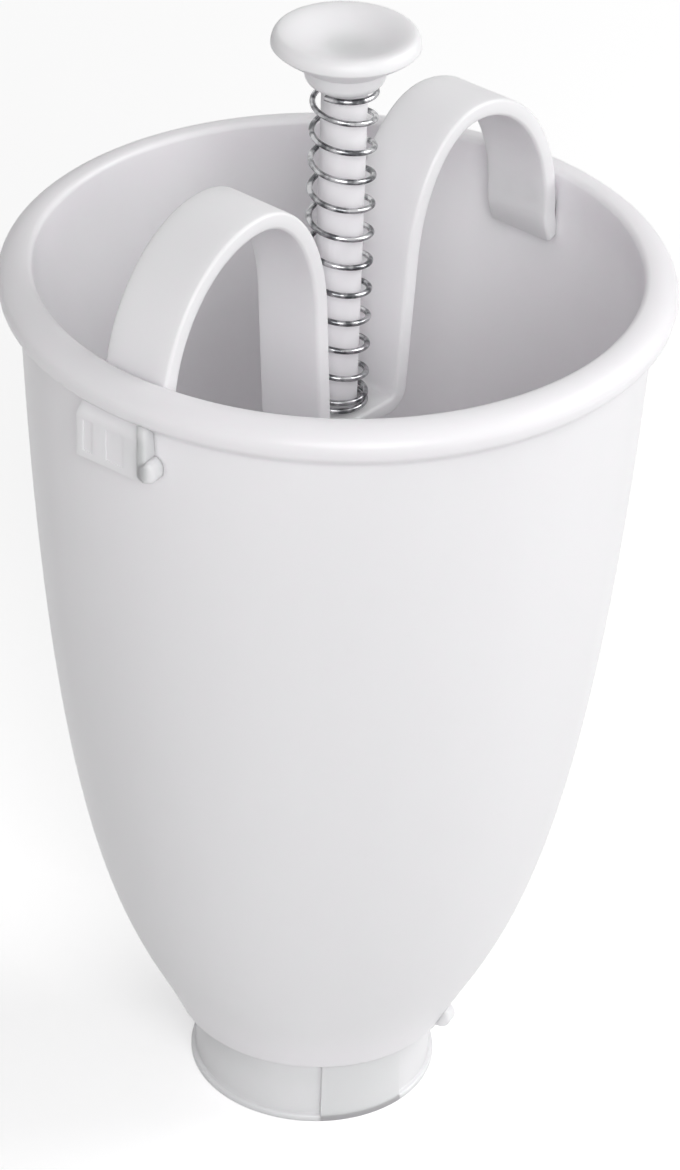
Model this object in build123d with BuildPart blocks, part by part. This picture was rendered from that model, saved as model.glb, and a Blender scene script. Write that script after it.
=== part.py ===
from build123d import *
import math
import os

os.makedirs("parts", exist_ok=True)

# Batter dropper for ring doughnuts, held over hot oil by its two finger arches.
# A bell-shaped hopper stands on its outlet collar. A sprung plunger in the middle carries a
# metering piston and, below the neck, the disc that shapes the ring.
# Lengths are in millimetres and angles in degrees. Z is up from the table, the arches lie along X.

# Gaps between pieces
guide_clearance = 0.1
fixed_clearance = 0.05
free_clearance = 0.3
disc_seal_gap = 0.15

# Hopper: the side of the bell is one curve, leaving its foot and reaching its mouth at small
# angles from upright, each held for a while by the pull
wall = 2.1
bell_foot_radius = 25.2
bell_foot_angle = 21.5
bell_foot_pull = 19.8
bell_mouth_radius = 53.6
bell_mouth_angle = 2.8
bell_mouth_pull = 116.9
bell_height = 142.7

# Hopper: rolled rim above the bell
groove_rise = 3.0
groove_flare = 0.4
lip_rise = 2.4
lip_inset = 0.4
rim_overhang = 3.9
rim_edge_height = 1.8
rim_crown_height = 3.4
crown_round = 1.1
lip_round = 0.6

# Hopper: neck below the bell, and its floor
throat_radius = 15.5
neck_wall = 2.9
neck_end_height = 6.0
floor_thickness = 2.3
floor_start = 0.07
throat_round = 1.0
floor_round = 3.5
foot_round = 1.1

# Bayonet between neck and collar
lug_span = 14.0
lug_rise = 1.9
lug_height = 2.4
lug_lift = 2.0
lug_angle_clearance = 0.8
unlock_angle = 28.0

# Outlet collar
collar_height = 14.0
collar_track_skin = 1.1
collar_wall = 1.5
collar_neck_gap = 0.4
collar_step_lift = 0.8
collar_lip_rise = 0.9
collar_lip_height = 1.3
collar_round = 0.8
pad_rise = 0.9
pad_angle = 66.0

# Small ears at the foot of the bell, which show how far the collar has turned
ear_reach = 3.0
ear_root = 0.4
ear_height = 4.2
ear_lift = 0.7
ear_thickness = 3.0
ear_angle = 105.0

# Pockets under the rim that take the feet of the arches, measured from the top of the bell
pocket_rise = 2.2
pocket_span = 19.8
pocket_drop = 5.0
pocket_height = 7.5
pocket_skin = 1.1
pocket_recess = 0.5
recess_spans = [(-7.5, -3.9), (-0.9, 4.1)]
recess_top_margin = 0.9
hook_rise = 3.9
hook_width = 4.9
hook_angle = 6.6
hook_drop = 2.0
hook_round = 0.8

# Plunger rod, and where its disc hangs under the neck
stroke = 18.0
rod_radius = 3.9
rod_in_knob = 5.6
rod_chamfer = 0.5

# Return spring, wound left-handed from polished steel wire
wire_radius = 0.5
coil_rod_gap = 0.9
coil_space = 60.8
coil_turns = 12.5
coil_close_pitch = 1.5
coil_seat_gap = 0.1
coil_close_turns_below = 1.25
coil_close_turns_above = 0.25
coil_start_angle = 3.0
coil_steps_per_turn = 4
coil_ramp_turns = 0.5

# Arched handle bridge
bridge_width = 13.5
bridge_thickness = 3.0
bridge_round = 0.9
leg_coil_gap = 4.4
leg_lean = 4.35
arch_inner_reach = 15.9
arch_inner_drop = 22.4
arch_outer_drop = 30.4
arch_rise = 19.8
foot_gap = 0.9
foot_lift = 0.5
tongue_width = 12.0
tongue_height = 4.4
hub_drop = 27.6
hub_thickness = 3.5
hub_round = 1.2
boss_wall = 2.4
boss_length = 13.0

# Thumb knob, measured up from its underside
knob_collar_wall = 1.8
knob_collar_round = 0.5
knob_waist_flare = 1.6
knob_waist_rise = 2.4
knob_radius = 12.75
knob_bowl_height = 5.7
knob_bowl_bulge = 0.8
knob_edge_height = 2.6
knob_edge_width = 1.75
knob_dish_depth = 3.1

# Metering piston and its pin
piston_clearance = 0.3
piston_stop_margin = 0.6
piston_land = 4.0
piston_wall = 1.8
piston_hub_wall = 2.6
piston_hub_height = 11.4
piston_cone_height = 6.2
pin_radius = 1.0
pin_rise = 8.6
pin_inset = 0.3

# Cutter disc and the screw that holds it on the rod
disc_overlap = 1.7
disc_thickness = 2.85
disc_hub_wall = 2.1
disc_hub_height = 6.15
disc_round = 0.5
disc_hub_round = 1.0
disc_floor = 2.0
screw_radius = 1.5
screw_head_rise = 1.4
screw_head_depth = 1.4
screw_length = 12.0
screw_slot_width = 0.8
screw_slot_depth = 0.7

# Heights that follow from the sizes above
bell_foot_height = collar_height + free_clearance
bell_top_height = bell_foot_height + bell_height
lip_height = bell_top_height + groove_rise + lip_rise
rim_widest_height = lip_height + rim_edge_height
rim_height = rim_widest_height + rim_crown_height
floor_height = bell_foot_height + floor_thickness
lug_base_height = neck_end_height + lug_lift
pocket_base_height = bell_top_height - pocket_drop
tongue_middle = pocket_base_height + pocket_height / 2
foot_height = pocket_base_height + foot_lift
hub_height = rim_height - hub_drop
hub_base_height = hub_height - hub_thickness
arch_top_height = rim_height + arch_rise
knob_seat_height = hub_height + coil_space
rod_top_height = knob_seat_height + rod_in_knob
disc_top_height = neck_end_height - disc_seal_gap
disc_base_height = disc_top_height - disc_thickness
rod_base_height = disc_base_height + disc_floor
piston_base_height = neck_end_height + stroke + piston_stop_margin
pin_height = piston_base_height + pin_rise

# Radii that follow
mouth_inner_radius = bell_mouth_radius - wall
rim_radius = bell_mouth_radius + rim_overhang
rim_crown_radius = mouth_inner_radius + crown_round
neck_radius = throat_radius + neck_wall
track_radius = neck_radius + lug_rise + free_clearance
collar_radius = track_radius + collar_track_skin
collar_mouth_radius = collar_radius - collar_wall
pad_span = lug_span + unlock_angle
bayonet_angle = pad_angle + pad_span / 2 - lug_span / 2
track_span = lug_span + 2 * lug_angle_clearance
rod_bore_radius = rod_radius + fixed_clearance
coil_radius = rod_radius + coil_rod_gap + wire_radius
leg_radius = coil_radius + wire_radius + leg_coil_gap + bridge_thickness / 2
arch_top_radius = leg_radius + arch_inner_reach
arch_outer_reach = mouth_inner_radius - foot_gap - bridge_thickness / 2 - arch_top_radius
foot_face_radius = mouth_inner_radius - foot_gap
tongue_reach = bell_mouth_radius + pocket_rise - pocket_skin - free_clearance
piston_radius = throat_radius - piston_clearance
piston_hub_radius = rod_radius + piston_hub_wall
disc_radius = throat_radius + disc_overlap


def radial_plane(angle):
    """The upright plane through the axis, its X pointing outward at an angle."""
    turn = math.radians(angle)
    across = (math.sin(turn), -math.cos(turn), 0)
    return Plane(origin=(0, 0, 0), x_dir=(math.cos(turn), math.sin(turn), 0), z_dir=across)


def facing_plane(angle, out):
    """The upright plane square to the radius at an angle, seen from outside."""
    turn = math.radians(angle)
    outward = Vector(math.cos(turn), math.sin(turn), 0)
    return Plane(origin=outward * out, x_dir=(-math.sin(turn), math.cos(turn), 0), z_dir=outward)


def ring_near(builder, radius, height):
    """The round edge of a part that lies nearest to a radius and a height."""
    rings = builder.edges().filter_by(GeomType.CIRCLE)
    return rings.sort_by(lambda e: abs(e.radius - radius) + abs(e.center().Z - height))[0]


def ring_sector(inner, outer, middle, span):
    """A piece of a flat ring, its middle at an angle."""
    start = middle - span / 2
    with BuildSketch() as sector:
        with BuildLine():
            far = CenterArc((0, 0), outer, start, span)
            near = CenterArc((0, 0), inner, start, span)
            Line(far @ 0, near @ 0)
            Line(far @ 1, near @ 1)
        make_face()
    return sector.sketch


def bell_side(inset, first):
    """The side of the bell, moved in by a wall, from a share of its length upward."""
    foot = Vector(bell_foot_radius - inset, bell_foot_height)
    mouth = Vector(bell_mouth_radius - inset, bell_top_height)
    foot_turn = math.radians(bell_foot_angle)
    mouth_turn = math.radians(bell_mouth_angle)
    foot_guide = foot + Vector(math.sin(foot_turn), math.cos(foot_turn)) * bell_foot_pull
    mouth_guide = mouth - Vector(math.sin(mouth_turn), math.cos(mouth_turn)) * bell_mouth_pull
    return Bezier(foot, foot_guide, mouth_guide, mouth, mode=Mode.PRIVATE).edge().trim(first, 1)


# Hopper: bell, rolled rim and neck turned as one section
with BuildPart() as hopper_cup:
    with BuildSketch(Plane.XZ):
        with BuildLine():
            outside = bell_side(0, 0)
            inside = bell_side(wall, floor_start)
            add([outside, inside])
            groove = (bell_mouth_radius + groove_flare, bell_top_height + groove_rise)
            lip = (rim_radius - lip_inset, lip_height)
            Polyline(outside @ 1, groove, lip, (rim_radius, rim_widest_height))
            EllipticalCenterArc(
                (rim_crown_radius, rim_widest_height),
                rim_radius - rim_crown_radius,
                rim_crown_height,
                0,
                arc_size=90,
            )
            crown_centre = (rim_crown_radius, rim_height - crown_round)
            inner_round = CenterArc(crown_centre, crown_round, 90, 90)
            Line(inner_round @ 1, inside @ 1)
            Polyline(
                inside @ 0,
                (throat_radius, floor_height),
                (throat_radius, neck_end_height),
                (neck_radius, neck_end_height),
                (neck_radius, bell_foot_height),
                outside @ 0,
            )
        make_face()
    revolve(axis=Axis.Z)
    floor_edge = inside @ 0
    fillet(ring_near(hopper_cup, bell_foot_radius, bell_foot_height), foot_round)
    fillet(ring_near(hopper_cup, floor_edge.X, floor_edge.Y), floor_round)
    fillet(ring_near(hopper_cup, throat_radius, floor_height), throat_round)
    fillet(ring_near(hopper_cup, *lip), lip_round)
    fillet(ring_near(hopper_cup, *groove), lip_round)

    # Bayonet lugs on the neck
    with BuildSketch(Plane.XY.offset(lug_base_height)):
        for side in (0, 180):
            lug_root = neck_radius - neck_wall / 2
            add(ring_sector(lug_root, neck_radius + lug_rise, bayonet_angle + side, lug_span))
    extrude(amount=lug_height)

    # Ears at the foot of the bell
    ear_tip = bell_foot_radius + ear_reach - ear_height / 2
    for side in (0, 180):
        with BuildSketch(radial_plane(ear_angle + side)):
            with Locations((ear_tip, bell_foot_height + ear_lift + ear_height / 2)):
                Circle(ear_height / 2)
                ear_length = ear_tip - bell_foot_radius - ear_root
                Rectangle(ear_length, ear_height, align=(Align.MAX, Align.CENTER))
        extrude(amount=ear_thickness / 2, both=True)

    # Pockets under the rim, one for each foot of the bridge
    for side in (0, 180):
        with BuildSketch(Plane.XY.offset(pocket_base_height)):
            pocket_root = bell_mouth_radius - wall / 2
            add(ring_sector(pocket_root, bell_mouth_radius + pocket_rise, side, pocket_span))
        extrude(amount=pocket_height)
        with BuildSketch(Plane.XY.offset(pocket_base_height)):
            recess_radius = bell_mouth_radius + pocket_rise - pocket_recess
            for low, high in recess_spans:
                add(ring_sector(recess_radius, rim_radius, side + (low + high) / 2, high - low))
        extrude(amount=pocket_height - recess_top_margin, mode=Mode.SUBTRACT)

        # Hook rib beside the pocket, with a round tip below it
        hook_front = facing_plane(side + hook_angle, bell_mouth_radius + hook_rise)
        hook_straight = pocket_height + hook_drop - hook_width / 2
        with BuildSketch(hook_front):
            with Locations((0, pocket_base_height - hook_drop + hook_width / 2)):
                Circle(hook_width / 2)
                Rectangle(hook_width, hook_straight, align=(Align.CENTER, Align.MIN))
        extrude(amount=-hook_rise - wall / 2)
        hook_face = hopper_cup.faces().filter_by(hook_front).sort_by_distance(hook_front.origin)[0]
        fillet(hook_face.edges(), hook_round)

        # Room for the tongue of the foot, open to the inside only
        with BuildSketch(radial_plane(side)):
            with Locations((foot_face_radius, tongue_middle)):
                Rectangle(
                    tongue_reach + free_clearance - foot_face_radius,
                    tongue_height + 2 * free_clearance,
                    align=(Align.MIN, Align.CENTER),
                )
        extrude(amount=tongue_width / 2 + free_clearance, both=True, mode=Mode.SUBTRACT)

hopper_cup.part.label = "hopper_cup"
export_step(hopper_cup.part, "parts/hopper_cup.step")


def arch_outline(offset):
    """One long side of the band, from the hub over the arch to the foot, moved out by an offset."""
    reach = arch_inner_reach + offset
    drop = arch_inner_drop + offset
    lean = math.tan(math.radians(leg_lean))
    lean_turn = math.degrees(math.atan(lean * drop / reach))
    rise = EllipticalCenterArc(
        (arch_top_radius, arch_top_height - arch_inner_drop), reach, drop, 90, arc_size=90 - lean_turn
    )
    fall = EllipticalCenterArc(
        (arch_top_radius, arch_top_height - arch_outer_drop),
        arch_outer_reach + offset,
        arch_outer_drop + offset,
        0,
        arc_size=90,
    )
    leg_top = rise @ 1
    leg = Line(leg_top, (leg_top.X - lean * (leg_top.Y - hub_base_height), hub_base_height))
    foot = Line(fall @ 0, ((fall @ 0).X, foot_height))
    return leg @ 1, foot @ 1


# Bridge: a band bent into two finger arches, with the plunger's guide in the hub between them
with BuildPart() as bridge_handle:
    with BuildSketch(Plane.XZ) as band:
        with BuildLine():
            inner_hub, outer_foot = arch_outline(bridge_thickness / 2)
            outer_hub, inner_foot = arch_outline(-bridge_thickness / 2)
            Line(inner_hub, outer_hub)
            Line(outer_foot, inner_foot)
        make_face()
        with Locations((0, hub_base_height)):
            Rectangle(outer_hub.X, hub_thickness, align=(Align.MIN, Align.MIN))
        mirror(about=Plane.YZ)
        for height in (hub_height, hub_base_height):
            low, high = height - fixed_clearance, height + fixed_clearance
            fillet(band.vertices().filter_by_position(Axis.Y, low, high), hub_round)
    extrude(amount=bridge_width / 2, both=True)
    sides = bridge_handle.faces().filter_by(Axis.Y).sort_by(Axis.Y)
    fillet(sides[0].edges() + sides[-1].edges(), bridge_round)

    # Guide boss under the hub
    with BuildSketch(Plane.XY.offset(hub_base_height)):
        Circle(rod_radius + guide_clearance + boss_wall)
    extrude(amount=-boss_length)
    with BuildSketch(Plane.XY.offset(hub_height)):
        Circle(rod_radius + guide_clearance)
    extrude(amount=-hub_thickness - boss_length, mode=Mode.SUBTRACT)

    # Tongues that plug into the hopper's pockets
    tongue_root = foot_face_radius - bridge_thickness / 2
    for side in (0, 180):
        with BuildSketch(radial_plane(side)):
            with Locations((tongue_root, tongue_middle)):
                Rectangle(tongue_reach - tongue_root, tongue_height, align=(Align.MIN, Align.CENTER))
        extrude(amount=tongue_width / 2, both=True)

bridge_handle.part.label = "bridge_handle"
export_step(bridge_handle.part, "parts/bridge_handle.step")


# Plunger rod, cross-drilled for the piston pin and drilled from below for the disc's screw
with BuildPart() as plunger_rod:
    with BuildSketch(Plane.XY.offset(rod_base_height + fixed_clearance)):
        Circle(rod_radius)
    extrude(amount=rod_top_height - rod_base_height - fixed_clearance)
    chamfer(plunger_rod.edges().sort_by(Axis.Z)[-1], rod_chamfer)
    with BuildSketch(Plane.XY.offset(rod_base_height)):
        Circle(screw_radius + fixed_clearance)
    extrude(amount=screw_length + free_clearance - disc_floor, mode=Mode.SUBTRACT)
    with BuildSketch(Plane.XZ):
        with Locations((0, pin_height)):
            Circle(pin_radius + fixed_clearance)
    extrude(amount=piston_hub_radius, both=True, mode=Mode.SUBTRACT)

plunger_rod.part.label = "plunger_rod"
export_step(plunger_rod.part, "parts/plunger_rod.step")


# Thumb knob: a dished bowl on a short collar, screwed on the rod
knob_collar_radius = rod_radius + knob_collar_wall
knob_waist_radius = knob_collar_radius + knob_waist_flare
knob_waist_height = knob_seat_height + knob_waist_rise
knob_widest_height = knob_waist_height + knob_bowl_height
with BuildPart() as thumb_knob:
    with BuildSketch(Plane.XZ):
        with BuildLine():
            Polyline(
                (0, rod_top_height + free_clearance),
                (rod_bore_radius, rod_top_height + free_clearance),
                (rod_bore_radius, knob_seat_height),
                (knob_collar_radius, knob_seat_height),
                (knob_waist_radius, knob_waist_height),
            )
            bowl = SagittaArc(
                (knob_waist_radius, knob_waist_height), (knob_radius, knob_widest_height), knob_bowl_bulge
            )
            edge = EllipticalCenterArc(
                (knob_radius - knob_edge_width, knob_widest_height),
                knob_edge_width,
                knob_edge_height,
                0,
                arc_size=90,
            )
            dish_centre = (0, knob_widest_height + knob_edge_height - knob_dish_depth)
            Spline(edge @ 1, dish_centre, tangents=((-1, 0), (-1, 0)))
            Line(dish_centre, (0, rod_top_height + free_clearance))
        make_face()
    revolve(axis=Axis.Z)
    fillet(ring_near(thumb_knob, knob_collar_radius, knob_seat_height), knob_collar_round)

thumb_knob.part.label = "thumb_knob"
export_step(thumb_knob.part, "parts/thumb_knob.step")


def ramp(turns):
    """Share of full pitch gathered after some turns, the pitch growing over a short ramp."""
    if turns <= 0:
        return 0.0
    if turns < coil_ramp_turns:
        return turns * turns / (2 * coil_ramp_turns)
    return turns - coil_ramp_turns / 2


def ramp_slope(turns):
    """How far the pitch has grown after some turns, from 0 to 1."""
    return min(max(turns / coil_ramp_turns, 0.0), 1.0)


# Return spring: close turns at the hub, open turns above, and a part turn under the knob
coil_low = hub_height + coil_seat_gap + wire_radius
coil_high = knob_seat_height - free_clearance - wire_radius
upper_ramp_start = coil_turns - coil_close_turns_above - coil_ramp_turns
open_turns = coil_turns - coil_close_turns_below - coil_close_turns_above - coil_ramp_turns
open_extra_pitch = (coil_high - coil_low - coil_close_pitch * coil_turns) / open_turns


def coil_point(turns):
    """A point on the wire's centre line, after some turns from the lower end."""
    angle = math.radians(coil_start_angle) - 2 * math.pi * turns
    gathered = ramp(turns - coil_close_turns_below) - ramp(turns - upper_ramp_start)
    height = coil_low + coil_close_pitch * turns + open_extra_pitch * gathered
    return Vector(coil_radius * math.cos(angle), coil_radius * math.sin(angle), height)


def coil_heading(turns):
    """The direction of the wire at that point."""
    angle = math.radians(coil_start_angle) - 2 * math.pi * turns
    grown = ramp_slope(turns - coil_close_turns_below) - ramp_slope(turns - upper_ramp_start)
    climb = coil_close_pitch + open_extra_pitch * grown
    sweep_speed = 2 * math.pi * coil_radius
    return Vector(sweep_speed * math.sin(angle), -sweep_speed * math.cos(angle), climb).normalized()


def biarc(start, start_heading, end, end_heading):
    """Two arcs that leave one point and reach another in the given directions."""
    across = end - start
    both = start_heading + end_heading
    bend = 2 * (1 - start_heading.dot(end_heading))
    reach = (math.sqrt(across.dot(both) ** 2 + bend * across.dot(across)) - across.dot(both)) / bend
    first_corner = start + start_heading * reach
    second_corner = end - end_heading * reach
    middle = (first_corner + second_corner) * 0.5
    TangentArc(start, middle, tangent=start_heading)
    TangentArc(middle, end, tangent=(second_corner - first_corner).normalized())


with BuildPart() as return_spring:
    with BuildLine() as coil:
        steps = round(coil_turns * coil_steps_per_turn)
        knots = [step / coil_steps_per_turn for step in range(steps + 1)]
        Line(coil_point(0) - coil_heading(0) * 2 * wire_radius, coil_point(0))
        for low, high in zip(knots, knots[1:]):
            biarc(coil_point(low), coil_heading(low), coil_point(high), coil_heading(high))
        Line(coil_point(knots[-1]), coil_point(knots[-1]) + coil_heading(knots[-1]) * 2 * wire_radius)
    with BuildSketch(Plane(origin=coil.wires()[0] @ 0, z_dir=coil.wires()[0] % 0)):
        Circle(wire_radius)
    sweep()

return_spring.part.label = "return_spring"
export_step(return_spring.part, "parts/return_spring.step")

# Least gap between turns, measured on points at least half a turn apart
points_per_turn = 48
samples = [coil_point(i / points_per_turn) for i in range(round(coil_turns * points_per_turn) + 1)]
least = min(
    (samples[j] - samples[i]).length
    for i in range(len(samples))
    for j in range(i + points_per_turn // 2, min(i + 2 * points_per_turn, len(samples)))
)
print("spring: least gap to itself", round(least - 2 * wire_radius, 3), "mm")


# Metering piston: a thin cone that enters the throat and shuts off the batter above it
with BuildPart() as metering_piston:
    with BuildSketch(Plane.XZ):
        with BuildLine():
            shoulder = piston_base_height + piston_land
            hub_top = piston_base_height + piston_hub_height
            cone_top = piston_base_height + piston_cone_height
            Polyline(
                (rod_bore_radius, piston_base_height),
                (rod_bore_radius, hub_top),
                (piston_hub_radius, hub_top),
                (piston_hub_radius, cone_top),
                (piston_radius, shoulder),
                (piston_radius, piston_base_height),
                (piston_radius - piston_wall, piston_base_height),
                (piston_radius - piston_wall, shoulder - piston_wall),
                (piston_hub_radius, cone_top - piston_wall),
                (piston_hub_radius, piston_base_height),
                close=True,
            )
        make_face()
    revolve(axis=Axis.Z)
    with BuildSketch(Plane.XZ):
        with Locations((0, pin_height)):
            Circle(pin_radius + fixed_clearance)
    extrude(amount=piston_hub_radius, both=True, mode=Mode.SUBTRACT)

metering_piston.part.label = "metering_piston"
export_step(metering_piston.part, "parts/metering_piston.step")


# Steel pin through the piston's hub and the rod
with BuildPart() as piston_pin:
    with BuildSketch(Plane.XZ):
        with Locations((0, pin_height)):
            Circle(pin_radius)
    extrude(amount=piston_hub_radius - pin_inset, both=True)

piston_pin.part.label = "piston_pin"
export_step(piston_pin.part, "parts/piston_pin.step")


# Cutter disc: shuts the neck at rest and shapes the inside of the ring
disc_hub_radius = rod_radius + disc_hub_wall
screw_head_radius = screw_radius + screw_head_rise
with BuildPart() as cutter_disc:
    with BuildSketch(Plane.XZ):
        with BuildLine():
            Polyline(
                (rod_bore_radius, rod_base_height),
                (rod_bore_radius, disc_top_height + disc_hub_height),
                (disc_hub_radius, disc_top_height + disc_hub_height),
                (disc_hub_radius, disc_top_height),
                (disc_radius, disc_top_height),
                (disc_radius, disc_base_height),
                (screw_head_radius + fixed_clearance, disc_base_height),
                (screw_radius + fixed_clearance, disc_base_height + screw_head_depth),
                (screw_radius + fixed_clearance, rod_base_height),
                close=True,
            )
        make_face()
    revolve(axis=Axis.Z)
    fillet(ring_near(cutter_disc, disc_radius, disc_base_height), disc_round)
    fillet(ring_near(cutter_disc, disc_hub_radius, disc_top_height), disc_hub_round)

cutter_disc.part.label = "cutter_disc"
export_step(cutter_disc.part, "parts/cutter_disc.step")


# Countersunk screw with a cross recess
with BuildPart() as disc_screw:
    with BuildSketch(Plane.XZ):
        with BuildLine():
            Polyline(
                (0, disc_base_height + fixed_clearance),
                (screw_head_radius, disc_base_height + fixed_clearance),
                (screw_radius, disc_base_height + screw_head_depth + fixed_clearance),
                (screw_radius, disc_base_height + screw_length),
                (0, disc_base_height + screw_length),
                close=True,
            )
        make_face()
    revolve(axis=Axis.Z)
    with BuildSketch(Plane.XY.offset(disc_base_height)):
        Rectangle(2 * screw_radius, screw_slot_width)
        Rectangle(screw_slot_width, 2 * screw_radius)
    extrude(amount=screw_slot_depth, mode=Mode.SUBTRACT)

disc_screw.part.label = "disc_screw"
export_step(disc_screw.part, "parts/disc_screw.step")


# Outlet collar: the nozzle ring that the whole dropper stands on, locked by a part turn
with BuildPart() as outlet_collar:
    with BuildSketch(Plane.XZ):
        with BuildLine():
            bore = neck_radius + collar_neck_gap
            step = neck_end_height + collar_step_lift
            Polyline(
                (collar_mouth_radius, 0),
                (collar_radius + collar_lip_rise, 0),
                (collar_radius + collar_lip_rise, collar_lip_height),
                (collar_radius, collar_lip_height),
                (collar_radius, collar_height),
                (bore, collar_height),
                (bore, step),
                (collar_mouth_radius, step - (collar_mouth_radius - bore)),
                close=True,
            )
        make_face()
    revolve(axis=Axis.Z)
    fillet(ring_near(outlet_collar, collar_radius, collar_height), collar_round)
    for side in (0, 180):
        with BuildSketch():
            pad_root = collar_radius - collar_wall / 2
            add(ring_sector(pad_root, collar_radius + pad_rise, pad_angle + side, pad_span))
        extrude(amount=collar_height - collar_round)
        # Bayonet track: a run along which the lug slides, and the way in from the top
        with BuildSketch(Plane.XY.offset(lug_base_height - free_clearance)):
            run_middle = bayonet_angle + side - unlock_angle / 2
            add(ring_sector(neck_radius, track_radius, run_middle, track_span + unlock_angle))
        extrude(amount=lug_height + 2 * free_clearance, mode=Mode.SUBTRACT)
        with BuildSketch(Plane.XY.offset(lug_base_height - free_clearance)):
            add(ring_sector(neck_radius, track_radius, bayonet_angle + side - unlock_angle, track_span))
        extrude(amount=collar_height, mode=Mode.SUBTRACT)

outlet_collar.part.label = "outlet_collar"
export_step(outlet_collar.part, "parts/outlet_collar.step")
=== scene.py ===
"""Batter dropper for ring doughnuts: the finished look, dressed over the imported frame."""

import math

import bmesh
import bpy
from bpy.props import FloatProperty, FloatVectorProperty, IntProperty, PointerProperty
from mathutils import Matrix, Vector, geometry


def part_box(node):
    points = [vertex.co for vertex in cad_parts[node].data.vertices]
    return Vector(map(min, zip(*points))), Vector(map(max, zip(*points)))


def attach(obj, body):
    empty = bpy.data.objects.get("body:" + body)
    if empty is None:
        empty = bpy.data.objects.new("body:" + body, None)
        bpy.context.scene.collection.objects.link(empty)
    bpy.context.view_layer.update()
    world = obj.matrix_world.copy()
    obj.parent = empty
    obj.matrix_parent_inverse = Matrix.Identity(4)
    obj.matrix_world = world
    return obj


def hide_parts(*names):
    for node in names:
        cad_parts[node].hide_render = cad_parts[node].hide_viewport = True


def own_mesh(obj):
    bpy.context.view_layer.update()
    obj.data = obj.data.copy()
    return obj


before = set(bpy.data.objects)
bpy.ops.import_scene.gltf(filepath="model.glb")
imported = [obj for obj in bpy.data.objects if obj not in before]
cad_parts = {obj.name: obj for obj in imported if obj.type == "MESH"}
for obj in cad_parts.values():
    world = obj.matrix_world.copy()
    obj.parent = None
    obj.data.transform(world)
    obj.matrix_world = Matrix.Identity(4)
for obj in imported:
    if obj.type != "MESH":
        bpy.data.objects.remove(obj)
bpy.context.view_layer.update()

bl_info = {
    "name": "Doughnut batter dropper",
    "version": (1, 0, 0),
    "blender": (4, 5, 0),
    "location": "View3D > Sidebar > Dropper",
    "description": "Builds a hand-held batter dropper with a sprung plunger, and a pale studio for it",
    "category": "Object",
}

MM = 0.001

# Where the frame's own pieces are, so that the new ones start from them
HOPPER_LOW, HOPPER_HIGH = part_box("hopper_cup")
BRIDGE_LOW, BRIDGE_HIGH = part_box("bridge_handle")
ROD_LOW, ROD_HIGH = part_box("plunger_rod")
KNOB_LOW, KNOB_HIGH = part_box("thumb_knob")
SPRING_LOW, SPRING_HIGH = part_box("return_spring")
COLLAR_LOW, COLLAR_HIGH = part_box("outlet_collar")
PISTON_LOW, PISTON_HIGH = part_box("metering_piston")
PIN_LOW, PIN_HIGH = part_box("piston_pin")
DISC_LOW, DISC_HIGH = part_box("cutter_disc")
SCREW_LOW, SCREW_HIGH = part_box("disc_screw")


def linear(code):
    """A colour written as sRGB hex, in the linear values that Blender works with."""
    shares = [int(code[i:i + 2], 16) / 255 for i in (1, 3, 5)]
    return tuple(s / 12.92 if s <= 0.04045 else ((s + 0.055) / 1.055) ** 2.4 for s in shares)


def length(name, description, default):
    """A size in metres that a user may change."""
    return FloatProperty(
        name=name, description=description, default=default, min=0.0, precision=5, unit="LENGTH", subtype="DISTANCE"
    )


def angle(name, description, degrees):
    """An angle that a user may change."""
    return FloatProperty(
        name=name, description=description, default=math.radians(degrees), unit="ROTATION", subtype="ANGLE"
    )


def colour(name, description, code):
    """A colour that a user may change."""
    return FloatVectorProperty(
        name=name, description=description, default=linear(code), min=0.0, max=1.0, size=3, subtype="COLOR"
    )


# Sizes and colours that a user may change


class HopperSizes(bpy.types.PropertyGroup):
    wall: length("Wall", "Thickness of the bell's wall", 2.1 * MM)
    foot_radius: length("Foot radius", "Outside radius at the foot of the bell", 25.2 * MM)
    foot_height: length("Foot height", "Height of the bell's foot, just above the collar", COLLAR_HIGH.z + 0.3 * MM)
    foot_angle: angle("Foot angle", "How far the side leans out at the foot", 21.5)
    foot_pull: length("Foot pull", "How long the side keeps its lean at the foot", 19.8 * MM)
    mouth_radius: length("Mouth radius", "Outside radius under the rim", 53.6 * MM)
    mouth_height: length("Mouth height", "Height where the rim starts", HOPPER_HIGH.z - 10.6 * MM)
    mouth_angle: angle("Mouth angle", "How far the side leans out under the rim", 2.8)
    mouth_pull: length("Mouth pull", "How long the side keeps its lean under the rim", 116.9 * MM)
    rim_radius: length("Rim radius", "Outside radius of the rolled rim", HOPPER_HIGH.x)
    rim_height: length("Rim height", "Height of the top of the rim", HOPPER_HIGH.z)
    throat_radius: length("Throat radius", "Radius of the hole that the batter leaves by", 15.5 * MM)
    neck_wall: length("Neck wall", "Thickness of the neck", 2.9 * MM)
    floor_height: length("Floor height", "Height of the floor around the throat", 16.6 * MM)
    funnel_height: length("Funnel height", "Height where the floor meets the side", 23.9 * MM)
    pocket_radius: length("Pocket radius", "Outside radius of the two pockets", 55.8 * MM)
    pocket_start: angle("Pocket start", "Where a pocket starts, from the middle of the bridge", -7.6)
    pocket_end: angle("Pocket end", "Where a pocket ends, from the middle of the bridge", 6.9)
    pocket_facing: angle("Pocket facing", "Direction that the flat face of a pocket looks in", 2.5)
    pocket_low: length("Pocket underside", "Height of the underside of the pockets", 150.9 * MM)
    pocket_high: length("Pocket top", "Height of the top of the pockets", 160.7 * MM)
    hook_angle: angle("Hook place", "Where the hook rib is, from the middle of the bridge", 6.6)
    hook_reach: length("Hook reach", "Radius that the hook rib reaches", 56.3 * MM)
    hook_width: length("Hook width", "Width of the hook rib", 1.9 * MM)
    hook_low: length("Hook end", "Height of the round end of the hook rib", 151.2 * MM)
    ear_radius: length("Ear reach", "Radius that the small ears reach", 28.2 * MM)


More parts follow.
